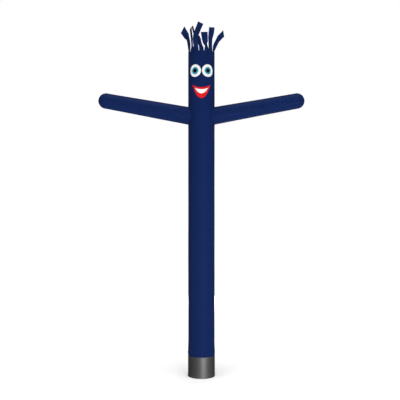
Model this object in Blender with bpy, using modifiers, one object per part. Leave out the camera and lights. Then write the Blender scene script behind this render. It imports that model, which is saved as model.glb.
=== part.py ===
"""An inflatable air dancer: a blown-up cloth tube with two arms, a face and a fringe of hair.

Metres, +Z up. The face looks along -Y and the arms reach along X. The origin is the middle of
the cuff's foot, which stands on the blower or on the ground.
"""

from collections import namedtuple
from math import ceil, cos, pi, radians, sin, tau

import bmesh
import bpy
from mathutils import Matrix, Vector

# Cloth and clearances
CLOTH = 0.002
CUFF_CLOTH = 0.003
FRINGE_CLOTH = 0.0016
PATCH_CLOTH = 0.001
GAP = 0.0004

# Trunk, an open tube from inside the cuff up to the crown
TRUNK_RADIUS = 0.2285
CROWN_HEIGHT = 5.575
TRUNK_SIDES = 48
TRUNK_RING_PITCH = 0.44

# Cuff, the stiff sleeve that slides over the blower
CUFF_HEIGHT = 0.360
CUFF_LAP = 0.030
CUFF_INSIDE = TRUNK_RADIUS + GAP
HEM_HEIGHT = 0.036
HEM_TURN = 0.002

# How far the trunk swells beyond its radius above the cuff: height over the cuff, swell
SwellRow = namedtuple("SwellRow", "above_cuff swell")
CUFF_SWELL = (
    SwellRow(-CUFF_LAP, 0.0),
    SwellRow(0.006, 0.0),
    SwellRow(0.045, 0.0026),
    SwellRow(0.120, 0.0022),
    SwellRow(0.260, 0.0),
)

# Arms, tapered tubes with round ends, each of four gores that are sewn together along its top, its
# underside, its front and its back; distances are along it from the trunk's axis
ARM_HEIGHT = 4.452
ARM_RISE = radians(10.2)
ARM_END_CENTRE = 1.676
ARM_END_RADIUS = 0.1325
ARM_ROOT = 0.230
ARM_ROOT_RADIUS = 0.1505
ARM_START = 0.120
ARM_SIDES = 32
ARM_RING_PITCH = 0.30
ARM_END_RINGS = 5
ARM_ROOM_LENGTH = 4.0
ARM_ROOM = 1.2
AIR_HOLE_MARGIN = 0.006
AIR_HOLE_NEAR = 0.09
AIR_HOLE_FAR = 0.50

# Face, sewn-on patches; across is measured round the trunk from its front line
EYE_HEIGHT = 5.236
EYE_ACROSS = 0.114
EYE_RADIUS = 0.106
IRIS_RADIUS = 0.062
PUPIL_RADIUS = 0.036
DISC_POINTS = 36
MOUTH_HEIGHT = 5.000
MOUTH_HALF_WIDTH = 0.165
LIP_SAG_TOP = 0.050
LIP_SAG_FOOT = 0.235
TEETH_HALF_WIDTH = 0.118
TEETH_DROP = 0.034
TEETH_SAG_TOP = 0.030
TEETH_SAG_FOOT = 0.100
ARC_POINTS = 14
PRISM_BACK = -0.05
PRISM_FRONT = -0.32
SHELL_MARGIN = 0.10

# Hair, strips that stand on a heading sewn inside the crown
STRIP_COUNT = 16
STRIP_ROOT_WIDTH = 0.080
HEADING_HEIGHT = 0.032
HEADING_SHOWS = 0.005
FRINGE_RADIUS = (TRUNK_RADIUS - CLOTH) * cos(pi / TRUNK_SIDES) - GAP
STRIP_ROWS = 12
ROOT_LIFT = 0.22
LOW_TURN_ENDS = 0.25
TURN_LENGTH = 0.30

# One row for each strip. The place counts round the crown from the front. The middle and the
# tip are measured from the middle of the crown's rim. The strip faces the way "low" above its
# root and the way "high" at its tip, where 0 is the front and 90 the right, and it turns over
# about "turn_at" of its length. Slant is how far its end's right corner runs past the left one.
Strip = namedtuple(
    "Strip", "place mid_x mid_y mid_z tip_x tip_y tip_z low high turn_at width slant"
)
STRIPS = (
    Strip(-3, -0.230, -0.050, 0.226, -0.326, 0.000, 0.409, -56, -4, 0.66, 0.114, 0.086),
    Strip(-2, -0.163, -0.140, 0.196, -0.188, -0.060, 0.421, -70, -69, 0.50, 0.088, 0.000),
    Strip(-1, -0.101, -0.260, 0.217, -0.013, -0.200, 0.479, -12, 2, 0.50, 0.098, -0.015),
    Strip(0, -0.048, -0.160, 0.225, -0.090, -0.020, 0.340, 46, 70, 0.50, 0.088, 0.000),
    Strip(1, 0.061, -0.290, 0.159, 0.044, -0.500, 0.245, 60, -4, 0.38, 0.112, 0.000),
    Strip(2, 0.157, -0.240, 0.188, 0.174, -0.400, 0.347, 56, 0, 0.64, 0.094, 0.000),
    Strip(3, 0.284, 0.000, 0.228, 0.388, 0.060, 0.361, 46, 12, 0.60, 0.092, -0.096),
    Strip(4, 0.265, 0.110, 0.186, 0.346, 0.260, 0.360, 96, 112, 0.60, 0.092, 0.000),
    Strip(5, 0.248, 0.260, 0.199, 0.298, 0.460, 0.335, 110, 108, 0.60, 0.090, 0.010),
    Strip(6, 0.158, 0.210, 0.250, 0.168, 0.290, 0.410, 140, 176, 0.70, 0.086, 0.000),
    Strip(7, 0.075, 0.260, 0.230, 0.046, 0.360, 0.370, 112, 150, 0.60, 0.096, 0.000),
    Strip(8, -0.026, 0.260, 0.230, -0.074, 0.320, 0.368, 126, 150, 0.60, 0.090, 0.000),
    Strip(-7, -0.109, 0.190, 0.300, -0.159, 0.100, 0.497, -112, -112, 0.50, 0.086, 0.000),
    Strip(-6, -0.118, 0.330, 0.200, -0.102, 0.480, 0.345, -104, -110, 0.50, 0.090, 0.000),
    Strip(-5, -0.224, 0.250, 0.215, -0.252, 0.420, 0.366, -106, -112, 0.50, 0.086, -0.010),
    Strip(-4, -0.235, 0.100, 0.226, -0.291, 0.220, 0.404, -92, -106, 0.60, 0.090, 0.000),
)

COLOURS = {
    "navy_nylon": (0.010, 0.024, 0.098),
    "grey_vinyl": (0.100, 0.100, 0.106),
    "white_nylon": (0.860, 0.860, 0.850),
    "blue_nylon": (0.040, 0.340, 0.500),
    "black_nylon": (0.010, 0.010, 0.012),
    "red_nylon": (0.620, 0.020, 0.016),
}
ROUGHNESS = {"grey_vinyl": 0.42}
NYLON_ROUGHNESS = 0.60
SHARP_ANGLE = radians(35)
WELD_DISTANCE = 0.00005


def clear_scene():
    for obj in list(bpy.data.objects):
        bpy.data.objects.remove(obj, do_unlink=True)


def new_collection(name):
    made = bpy.data.collections.new(name)
    bpy.context.scene.collection.children.link(made)
    return made


def material(name):
    """The Principled material of that name, made the first time it is asked for."""
    found = bpy.data.materials.get(name)
    if found:
        return found
    made = bpy.data.materials.new(name)
    made.diffuse_color = (*COLOURS[name], 1.0)
    made.use_nodes = True
    shader = made.node_tree.nodes["Principled BSDF"]
    shader.inputs["Base Color"].default_value = (*COLOURS[name], 1.0)
    shader.inputs["Roughness"].default_value = ROUGHNESS.get(name, NYLON_ROUGHNESS)
    shader.inputs["Metallic"].default_value = 0.0
    return made


def as_cutter(obj):
    obj.hide_render = True
    obj.display_type = "WIRE"
    return obj


def add_object(name, data, collection, finish=None):
    obj = bpy.data.objects.new(name, data)
    collection.objects.link(obj)
    if finish:
        obj.data.materials.append(material(finish))
    return obj


def add_turned(name, profile, sides, collection, finish=None, closed=False, start=0.0):
    """Turns (radius, height) points about Z from an angle; they run down the outer side."""
    mesh = bpy.data.meshes.new(name)
    points = [(radius * cos(start), radius * sin(start), height) for radius, height in profile]
    edges = [(i, i + 1) for i in range(len(points) - 1)]
    if closed:
        edges.append((len(points) - 1, 0))
    mesh.from_pydata(points, edges, [])
    obj = add_object(name, mesh, collection, finish)
    screw = obj.modifiers.new("Turn", "SCREW")
    screw.axis = "Z"
    screw.angle = tau
    screw.steps = sides
    screw.render_steps = sides
    screw.use_merge_vertices = True
    screw.merge_threshold = 0.0001
    screw.use_smooth_shade = True
    return obj


def add_wall(obj, thickness):
    """Gives an open surface its cloth, on the inside."""
    wall = obj.modifiers.new("Cloth", "SOLIDIFY")
    wall.thickness = thickness
    wall.offset = -1.0
    return obj


def shade_round(obj):
    """Makes an object's modifiers final and shades it smooth, but sharp at its edges."""
    bpy.context.view_layer.update()
    evaluated = obj.evaluated_get(bpy.context.evaluated_depsgraph_get())
    mesh = bpy.data.meshes.new_from_object(evaluated)
    mesh.shade_smooth()
    mesh.set_sharp_from_angle(angle=SHARP_ANGLE)
    obj.modifiers.clear()
    obj.data = mesh


def add_boolean(obj, other, operation):
    cut = obj.modifiers.new(f"{operation.title()} {other.name}", "BOOLEAN")
    cut.operation = operation
    cut.solver = "EXACT"
    cut.object = other


def spaced(start, end, pitch):
    """Values from start to end, both included, at most pitch apart."""
    count = max(1, ceil(abs(end - start) / pitch))
    return [start + (end - start) * i / count for i in range(count + 1)]


def trunk_profile():
    top_of_swell = CUFF_HEIGHT + CUFF_SWELL[-1].above_cuff
    upper = [(TRUNK_RADIUS, z) for z in spaced(CROWN_HEIGHT, top_of_swell, TRUNK_RING_PITCH)]
    lower = [
        (TRUNK_RADIUS + row.swell, CUFF_HEIGHT + row.above_cuff)
        for row in reversed(CUFF_SWELL[:-1])
    ]
    return upper + lower


def arm_radius(along):
    """The arm's outer radius at that distance from the trunk's axis."""
    share = (ARM_END_CENTRE - along) / (ARM_END_CENTRE - ARM_ROOT)
    return ARM_END_RADIUS + (ARM_ROOT_RADIUS - ARM_END_RADIUS) * share


def arm_profile():
    round_end = []
    for i in range(ARM_END_RINGS):
        turn = pi / 2 * i / ARM_END_RINGS
        round_end.append(
            (ARM_END_RADIUS * sin(turn), ARM_END_CENTRE + ARM_END_RADIUS * cos(turn))
        )
    straight = [(arm_radius(d), d) for d in spaced(ARM_END_CENTRE, ARM_START, ARM_RING_PITCH)]
    return round_end + straight


def aim_along_arm(obj, side):
    """Points an object's Z along the arm on that side, 1 for +X and -1 for -X."""
    obj.location = (0.0, 0.0, ARM_HEIGHT)
    obj.rotation_euler = (0.0, side * (pi / 2 - ARM_RISE), 0.0)
    return obj


def cuff_profile():
    """The cuff's wall as a closed section, its hem turned up on the outside."""
    outside = CUFF_INSIDE + CUFF_CLOTH
    return [
        (CUFF_INSIDE, CUFF_HEIGHT),
        (outside, CUFF_HEIGHT),
        (outside, HEM_HEIGHT),
        (outside + HEM_TURN, HEM_HEIGHT - HEM_TURN),
        (outside + HEM_TURN, 0.0),
        (CUFF_INSIDE, 0.0),
    ]


def disc_outline(across, height, radius):
    turns = [tau * i / DISC_POINTS for i in range(DISC_POINTS)]
    return [(across + radius * cos(turn), height + radius * sin(turn)) for turn in turns]


def smile_outline(height, half_width, sag_top, sag_foot):
    """A crescent between two parabolas that meet at its corners."""
    steps = [-1 + 2 * i / ARC_POINTS for i in range(ARC_POINTS + 1)]
    foot = [(half_width * u, height - sag_foot * (1 - u * u)) for u in steps]
    top = [(half_width * u, height - sag_top * (1 - u * u)) for u in reversed(steps[1:-1])]
    return foot + top


def add_prism(name, outline, collection):
    """An outline of (across, height) points, wrapped round the trunk's front and run along Y."""
    curve = bpy.data.curves.new(name, "CURVE")
    curve.dimensions = "2D"
    curve.fill_mode = "BOTH"
    curve.extrude = (PRISM_BACK - PRISM_FRONT) / 2
    spline = curve.splines.new("POLY")
    spline.points.add(len(outline) - 1)
    for point, (across, height) in zip(spline.points, outline):
        point.co = (TRUNK_RADIUS * sin(across / TRUNK_RADIUS), height, 0.0, 1.0)
    spline.use_cyclic_u = True
    guide = add_object(f"{name}_guide", curve, collection)
    guide.rotation_euler = (pi / 2, 0.0, 0.0)
    guide.location = (0.0, (PRISM_BACK + PRISM_FRONT) / 2, 0.0)
    bpy.context.view_layer.update()
    evaluated = guide.evaluated_get(bpy.context.evaluated_depsgraph_get())
    mesh = bpy.data.meshes.new_from_object(evaluated)
    welded = bmesh.new()
    welded.from_mesh(mesh)
    bmesh.ops.remove_doubles(welded, verts=welded.verts, dist=WELD_DISTANCE)
    bmesh.ops.recalc_face_normals(welded, faces=welded.faces)
    welded.to_mesh(mesh)
    welded.free()
    obj = add_object(name, mesh, collection)
    obj.matrix_world = guide.matrix_world
    bpy.data.objects.remove(guide, do_unlink=True)
    return obj


def add_patch(name, outline, layer, finish, collection, shells):
    """A sewn-on patch: the part of a thin shell round the trunk inside an outline."""
    patch = add_prism(name, outline, collection)
    patch.data.materials.append(material(finish))
    add_boolean(patch, shells[layer], "INTERSECT")


def add_shell(layer, collection):
    """The space of one layer of patches round the head."""
    outside = TRUNK_RADIUS + (layer + 1) * (GAP + PATCH_CLOTH)
    foot = MOUTH_HEIGHT - LIP_SAG_FOOT - SHELL_MARGIN
    shell = add_turned(
        f"patch_layer_{layer}",
        [(outside, CROWN_HEIGHT), (outside, foot)],
        TRUNK_SIDES,
        collection,
    )
    return as_cutter(add_wall(shell, PATCH_CLOTH))


def smoothstep(t):
    t = min(1.0, max(0.0, t))
    return t * t * (3 - 2 * t)


def hermite(start, end, start_way, end_way, t):
    """The point at t on a cubic with those ends and tangents, and its direction there."""
    place = (
        start * (2 * t**3 - 3 * t**2 + 1)
        + start_way * (t**3 - 2 * t**2 + t)
        + end * (3 * t**2 - 2 * t**3)
        + end_way * (t**3 - t**2)
    )
    way = (
        (start - end) * (6 * t**2 - 6 * t)
        + start_way * (3 * t**2 - 4 * t + 1)
        + end_way * (3 * t**2 - 2 * t)
    )
    return place, way.normalized()


def strip_route(strip, t):
    """The middle of a strip at t of its length, and its direction."""
    turn = tau * strip.place / STRIP_COUNT
    root = Vector((FRINGE_RADIUS * sin(turn), -FRINGE_RADIUS * cos(turn), HEADING_SHOWS))
    mid = Vector((strip.mid_x, strip.mid_y, strip.mid_z))
    tip = Vector((strip.tip_x, strip.tip_y, strip.tip_z))
    through = (tip - root) / 2
    if t <= 0.5:
        return hermite(root, mid, Vector((0.0, 0.0, ROOT_LIFT)), through, 2 * t)
    return hermite(mid, tip, through, tip - mid, 2 * t - 1)


def strip_bearing(strip, t):
    """The way that a strip faces at t of its length."""
    root = 360.0 * strip.place / STRIP_COUNT
    low = root + (strip.low - root) * smoothstep(t / LOW_TURN_ENDS)
    turned = smoothstep((t - strip.turn_at) / TURN_LENGTH + 0.5)
    return radians(low + (strip.high - low) * turned)


def strip_rows(strip):
    """The left and right points of each row across a strip of hair, from its root up."""
    rows = []
    for i in range(1, STRIP_ROWS + 1):
        t = i / STRIP_ROWS
        place, way = strip_route(strip, t)
        bearing = strip_bearing(strip, t)
        across = Vector((cos(bearing), sin(bearing), 0.0))
        across = (across - way * across.dot(way)).normalized()
        half = across * (STRIP_ROOT_WIDTH + (strip.width - STRIP_ROOT_WIDTH) * smoothstep(t)) / 2
        half += way * strip.slant / 2 * smoothstep(2 * t - 1)
        rows.append((place - half, place + half))
    return rows


def heading_points(strip, height):
    """The left and right points of a strip's part of the heading at one height."""
    turn = tau * strip.place / STRIP_COUNT
    half = STRIP_ROOT_WIDTH / 2 / FRINGE_RADIUS
    return [
        Vector((FRINGE_RADIUS * sin(angle), -FRINGE_RADIUS * cos(angle), height))
        for angle in (turn - half, turn + half)
    ]


def add_fringe(collection):
    """The heading and its strips as one sheet, slit between the strips."""
    mesh = bmesh.new()
    crown = Vector((0.0, 0.0, CROWN_HEIGHT))
    headings = []
    for strip in sorted(STRIPS, key=lambda row: row.place % STRIP_COUNT):
        foot = [mesh.verts.new(crown + p) for p in heading_points(strip, -HEADING_HEIGHT)]
        top = [mesh.verts.new(crown + p) for p in heading_points(strip, HEADING_SHOWS)]
        rows = [[mesh.verts.new(crown + p) for p in row] for row in strip_rows(strip)]
        rows = [foot, top] + rows
        for lower, upper in zip(rows, rows[1:]):
            mesh.faces.new((lower[0], lower[1], upper[1], upper[0]))
        headings.append((foot, top))
    for (foot, top), (next_foot, next_top) in zip(headings, headings[1:] + headings[:1]):
        mesh.faces.new((foot[1], next_foot[0], next_top[0], top[1]))
    data = bpy.data.meshes.new("hair_fringe")
    mesh.to_mesh(data)
    mesh.free()
    add_wall(add_object("hair_fringe", data, collection, "navy_nylon"), FRINGE_CLOTH)


def add_air_hole(name, side, cutters):
    """A rod along the arm on that side, which opens the trunk's wall into the arm."""
    bpy.ops.mesh.primitive_cylinder_add(
        vertices=ARM_SIDES,
        radius=ARM_ROOT_RADIUS - CLOTH - AIR_HOLE_MARGIN,
        depth=AIR_HOLE_FAR - AIR_HOLE_NEAR,
    )
    rod = bpy.context.object
    rod.name = name
    rod.data.transform(Matrix.Translation((0.0, 0.0, (AIR_HOLE_NEAR + AIR_HOLE_FAR) / 2)))
    rod.users_collection[0].objects.unlink(rod)
    cutters.objects.link(rod)
    return aim_along_arm(as_cutter(rod), side)


def add_trunk(collection, cutters):
    trunk = add_turned("trunk", trunk_profile(), TRUNK_SIDES, collection, "navy_nylon")
    add_wall(trunk, CLOTH)
    add_boolean(trunk, add_air_hole("air_hole_left", -1, cutters), "DIFFERENCE")
    add_boolean(trunk, add_air_hole("air_hole_right", 1, cutters), "DIFFERENCE")


def add_arm_gore(name, side, collection, rooms):
    """A quarter of an arm round its axis, what is left of the arm outside the rooms."""
    gore = add_turned(
        name, arm_profile(), ARM_SIDES, collection, "navy_nylon", start=pi / ARM_SIDES
    )
    aim_along_arm(add_wall(gore, CLOTH), side)
    for room in rooms:
        add_boolean(gore, room, "DIFFERENCE")


def add_arms(collection, cutters):
    room_for_trunk = add_room_for_trunk(cutters)
    back = Vector((0.0, 1.0, 0.0))
    behind = {
        face: add_half_room(f"behind_{face}_gores", 0.0, -toward * back, cutters)
        for face, toward in (("front", -1), ("back", 1))
    }
    for word, side in (("left", -1), ("right", 1)):
        upward = Vector((-side * sin(ARM_RISE), 0.0, cos(ARM_RISE)))
        for level, toward in (("upper", 1), ("lower", -1)):
            name = f"beyond_{word}_{level}_gores"
            beyond = add_half_room(name, -side * ARM_RISE, -toward * upward, cutters)
            for face, room in behind.items():
                add_arm_gore(
                    f"arm_{word}_{face}_{level}", side, collection, (room_for_trunk, room, beyond)
                )


def add_half_room(name, lean, toward, cutters):
    """The space round the arms on one side of a seam plane that leans about Y."""
    bpy.ops.mesh.primitive_cube_add(size=1.0)
    block = bpy.context.object
    block.name = name
    block.data.transform(Matrix.Diagonal((ARM_ROOM_LENGTH, ARM_ROOM, ARM_ROOM, 1.0)))
    block.rotation_euler = (0.0, lean, 0.0)
    block.location = Vector((0.0, 0.0, ARM_HEIGHT)) + toward * (ARM_ROOM - GAP) / 2
    block.users_collection[0].objects.unlink(block)
    cutters.objects.link(block)
    return as_cutter(block)


def add_room_for_trunk(cutters):
    """The trunk's envelope, which the arms stop at."""
    reach = 2 * ARM_ROOT_RADIUS
    outside = TRUNK_RADIUS + GAP
    profile = [
        (0.0, ARM_HEIGHT + reach),
        (outside, ARM_HEIGHT + reach),
        (outside, ARM_HEIGHT - reach),
        (0.0, ARM_HEIGHT - reach),
    ]
    return as_cutter(add_turned("room_for_trunk", profile, TRUNK_SIDES, cutters))


def add_face(collection, cutters):
    shells = [add_shell(layer, cutters) for layer in range(3)]
    for side, word in ((-1, "left"), (1, "right")):
        eye = (
            ("eye_white", EYE_RADIUS, "white_nylon"),
            ("eye_iris", IRIS_RADIUS, "blue_nylon"),
            ("eye_pupil", PUPIL_RADIUS, "black_nylon"),
        )
        for layer, (name, radius, finish) in enumerate(eye):
            outline = disc_outline(side * EYE_ACROSS, EYE_HEIGHT, radius)
            add_patch(f"{name}_{word}", outline, layer, finish, collection, shells)
    lips = smile_outline(MOUTH_HEIGHT, MOUTH_HALF_WIDTH, LIP_SAG_TOP, LIP_SAG_FOOT)
    add_patch("mouth", lips, 0, "red_nylon", collection, shells)
    teeth = smile_outline(
        MOUTH_HEIGHT - LIP_SAG_TOP - TEETH_DROP + TEETH_SAG_TOP,
        TEETH_HALF_WIDTH,
        TEETH_SAG_TOP,
        TEETH_SAG_FOOT,
    )
    add_patch("teeth", teeth, 1, "white_nylon", collection, shells)


def main():
    clear_scene()
    dancer = new_collection("air_dancer")
    cutters = new_collection("cutters")
    add_turned("cuff", cuff_profile(), TRUNK_SIDES, dancer, "grey_vinyl", closed=True)
    add_trunk(dancer, cutters)
    add_arms(dancer, cutters)
    add_face(dancer, cutters)
    add_fringe(dancer)
    for obj in dancer.objects:
        shade_round(obj)


main()
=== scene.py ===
"""Looks of the inflatable air dancer: its cloth, seams and stitches, their finishes, and a studio.

Metres, +Z up. The face looks along -Y and the arms reach along X. A turn is an angle round the
trunk from its front line, positive towards +X.
"""

from collections import namedtuple
from math import pi, radians, tau

import bpy
import numpy as np
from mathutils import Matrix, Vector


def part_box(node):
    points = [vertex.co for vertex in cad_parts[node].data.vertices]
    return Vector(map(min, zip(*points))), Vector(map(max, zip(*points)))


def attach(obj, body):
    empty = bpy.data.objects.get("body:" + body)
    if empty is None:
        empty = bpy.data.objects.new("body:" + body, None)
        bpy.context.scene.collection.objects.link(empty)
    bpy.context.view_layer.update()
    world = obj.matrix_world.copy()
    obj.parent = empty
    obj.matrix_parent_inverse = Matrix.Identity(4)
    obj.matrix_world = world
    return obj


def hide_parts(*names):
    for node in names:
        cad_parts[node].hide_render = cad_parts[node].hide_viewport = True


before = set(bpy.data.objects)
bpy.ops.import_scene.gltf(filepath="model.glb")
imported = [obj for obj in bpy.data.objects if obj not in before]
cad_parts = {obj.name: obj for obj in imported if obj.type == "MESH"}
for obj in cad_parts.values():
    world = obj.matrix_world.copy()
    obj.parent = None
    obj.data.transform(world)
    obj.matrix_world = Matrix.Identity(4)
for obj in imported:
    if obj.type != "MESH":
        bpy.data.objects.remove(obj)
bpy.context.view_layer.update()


def table(fields, *rows):
    """Rows whose values have those names."""
    row_type = namedtuple("Row", fields)
    return [row_type(*row) for row in rows]


# All pieces
SIDES = (("left", -1), ("right", 1))
GAP = 0.0004
WELD_REACH = 0.00002
SHARP_ANGLE = radians(50)
HEM_PITCH = 0.006

# Trunk
TRUNK_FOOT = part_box("trunk")[0].z
CROWN_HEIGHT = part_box("trunk")[1].z
TRUNK_RADIUS = 0.2285
TRUNK_COLUMNS = 220
TRUNK_TURNS = tau * np.arange(TRUNK_COLUMNS) / TRUNK_COLUMNS - pi
TRUNK_CLOTH = 0.0008
CROWN_HEM = 0.026
CROWN_FOLD = 0.001
WAVE_DEPTH = 0.0011

# Heights of the trunk between which its rows have one pitch
TRUNK_SPANS = table(
    "low high pitch",
    (TRUNK_FOOT, 0.60, 0.009),
    (0.60, 4.15, 0.050),
    (4.15, 4.85, 0.011),
    (4.85, 5.38, 0.040),
    (5.38, CROWN_HEIGHT - CROWN_FOLD, 0.009),
)

# Soft creases of the trunk: turn and lean in degrees, where a lean of 0 is level
# and 90 upright, and a depth above 0 is a ridge and below 0 a trough
TRUNK_CREASES = table(
    "turn height length width lean depth",
    (38, 4.3, 0.24, 0.013, 52, -0.003),
    (31, 4.235, 0.2, 0.016, 60, 0.0022),
    (-37, 4.285, 0.22, 0.014, -50, -0.0028),
    (-29, 4.22, 0.22, 0.015, -63, 0.002),
    (36, 4.69, 0.18, 0.012, -46, -0.0026),
    (-35, 4.7, 0.2, 0.013, 44, -0.0027),
    (90, 4.255, 0.2, 0.016, 88, -0.0028),
    (-92, 4.25, 0.18, 0.015, 94, -0.0026),
    (90, 4.725, 0.16, 0.014, 92, -0.0024),
    (-88, 4.73, 0.18, 0.014, 86, -0.0025),
    (142, 4.3, 0.22, 0.014, -50, -0.0028),
    (-144, 4.29, 0.24, 0.015, 52, -0.003),
    (146, 4.685, 0.18, 0.013, 48, -0.0024),
    (-141, 4.695, 0.2, 0.013, -45, -0.0026),
    (12, 0.433, 0.17, 0.011, 14, -0.0024),
    (-34, 0.468, 0.2, 0.012, -18, -0.0022),
    (60, 0.488, 0.22, 0.014, 22, -0.0024),
    (-96, 0.448, 0.2, 0.012, 12, -0.0023),
    (128, 0.458, 0.18, 0.012, -15, -0.0022),
    (-158, 0.498, 0.22, 0.014, 20, -0.0024),
    (-70, 5.47, 0.12, 0.01, 64, -0.0012),
    (22, 5.49, 0.1, 0.01, 80, -0.0011),
    (110, 5.47, 0.12, 0.011, -70, -0.0012),
    (-150, 5.48, 0.12, 0.01, 75, -0.0012),
)

# How far the trunk swells beyond its radius above the cuff
CUFF_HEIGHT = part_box("cuff")[1].z
CUFF_SWELL = table(
    "above_cuff swell",
    (0.004, 0.0),
    (0.016, 0.0028),
    (0.032, 0.0046),
    (0.055, 0.0050),
    (0.090, 0.0036),
    (0.150, 0.0014),
    (0.240, 0.0),
)
CUFF_PUCKER = 0.0024
CUFF_PUCKER_REACH = 0.060
CROWN_PUCKER = 0.0006
CROWN_PUCKER_REACH = 0.045

# Arms; distances are along the arm from the trunk's axis
ARM_HEIGHT = 4.452
ARM_RISE = radians(10.2)
ARM_END_CENTRE = 1.676
ARM_END_RADIUS = 0.1325
ARM_ROOT = 0.230
ARM_ROOT_RADIUS = 0.1505
GORE_COLUMNS = 44
GORE_MARGIN = 0.022
GORE_SHIFT = 0.0003
ARM_CLOTH = 0.0008
ARM_FINE_LENGTH = 0.16
ARM_FINE_PITCH = 0.008
ARM_PITCH = 0.013
ARM_END_ROWS = 24
GORE_CROWDING = 0.60
ROOT_PUCKER = 0.0026
ROOT_PUCKER_REACH = 0.055
SHOULDER_PUCKER_REACH = 0.050
SEAM_PUCKER = 0.0009
SEAM_PUCKER_PITCH = 0.062
SEAM_PUCKER_REACH = 0.018
TIP_GATHER = 0.0026
TIP_GATHER_REACH = 0.030
ARM_WAVE_DEPTH = 0.0007
SHOULDER_HALF_WIDTH = 0.164
SHOULDER_HALF_HEIGHT = 0.154
# Rods that cut the air holes: how much less their radius is than an arm's, and where they are
AIR_HOLE_MARGIN = 0.009
AIR_HOLE_MIDDLE = 0.30
AIR_HOLE_LENGTH = 0.40
# The seams' stitches stop that many rows from an arm's tip
SEAM_END_ROWS = 5

# The turned-in edges of a gore, by the angle from its seam
GORE_EDGE = table(
    "angle inset",
    (0.0035, 0.0075),
    (0.0035, 0.0024),
    (0.0075, 0.0008),
    (0.0150, 0.0001),
)
# The turned-in edge where an arm meets the trunk, by the distance from it
GORE_ROOT = table(
    "away inset",
    (0.0006, 0.0060),
    (0.0008, 0.0022),
    (0.0022, 0.0008),
    (0.0045, 0.0001),
)
# Soft creases of the arms: side is 1 for +X, face is 1 for the back, along is measured from the
# trunk's axis, and turn in degrees from the arm's underside
ARM_CREASES = table(
    "side face along turn length width lean depth",
    (1, -1, 0.36, 40, 0.2, 0.013, 24, -0.0026),
    (1, -1, 0.33, 128, 0.18, 0.012, -28, -0.0024),
    (1, 1, 0.37, 52, 0.2, 0.013, 20, -0.0025),
    (1, 1, 0.34, 120, 0.16, 0.012, -24, -0.0024),
    (-1, -1, 0.35, 48, 0.2, 0.013, 22, -0.0026),
    (-1, -1, 0.36, 122, 0.17, 0.012, -20, -0.0023),
    (-1, 1, 0.34, 44, 0.19, 0.013, 26, -0.0025),
    (-1, 1, 0.36, 130, 0.18, 0.012, -24, -0.0024),
    (1, -1, 1.02, 70, 0.26, 0.018, 68, -0.0016),
    (-1, -1, 0.92, 96, 0.28, 0.018, 108, -0.0016),
    (1, 1, 0.86, 84, 0.26, 0.018, 100, -0.0016),
    (-1, 1, 1.12, 78, 0.24, 0.018, 74, -0.0016),
)

# Cuff
CUFF_CLOTH = 0.0012
CUFF_FACE = 0.2315
CUFF_HEM_FACE = 0.2320
CUFF_HEM_HEIGHT = 0.036
CUFF_LAP = 0.030
CUFF_LAP_SWELL = 0.0004
CUFF_PITCH = 0.009
CUFF_BUCKLE = 0.0009

# Face, sewn-on patches; across is measured round the trunk from its front line
PATCH_CLOTH = 0.001
PATCH_SHEET = PATCH_CLOTH * 0.8
PATCH_PRESS = 0.00025
PATCH_PRESS_WIDTH = 0.006
PATCH_SEAM_INSIDE = 0.0035
EYE_HEIGHT = 5.236
EYE_ACROSS = 0.114
EYE_DISCS = table(
    "node colour layer radius",
    ("eye_white", "white", 0, 0.106),
    ("eye_iris", "blue", 1, 0.062),
    ("eye_pupil", "black", 2, 0.036),
)
# A crescent's ends are at its height, and the middles of its top and foot sag below that
Smile = namedtuple("Smile", "node colour layer height half_width sag_top sag_foot")
TEETH_DROP = 0.034
TEETH_SAG = 0.030
LIPS = Smile("mouth", "red", 0, 5.000, 0.165, 0.050, 0.235)
TEETH_HEIGHT = LIPS.height - LIPS.sag_top - TEETH_DROP + TEETH_SAG
TEETH = Smile("teeth", "white", 1, TEETH_HEIGHT, 0.118, TEETH_SAG, 0.100)
DISC_COLUMNS = 96
DISC_ROWS = 18
SMILE_COLUMNS = 97
SMILE_ROWS = 17

# Hair, strips that stand on a heading sewn inside the crown, clear of the flat sides that the
# trunk's solid has there
STRIP_COUNT = 16
STRIP_ROOT_WIDTH = 0.080
HEADING_HEIGHT = 0.032
HEADING_SHOWS = 0.005
SOLID_SIDES = 48
SOLID_WALL = 0.002
FRINGE_RADIUS = (TRUNK_RADIUS - SOLID_WALL) * np.cos(pi / SOLID_SIDES) - GAP
FRINGE_CLOTH = 0.0010
ROOT_LIFT = 0.22
LOW_TURN_ENDS = 0.25
TURN_LENGTH = 0.30
STRIP_COLUMNS = 9
STRIP_ROWS = 44
HEADING_ROWS = 4

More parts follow.
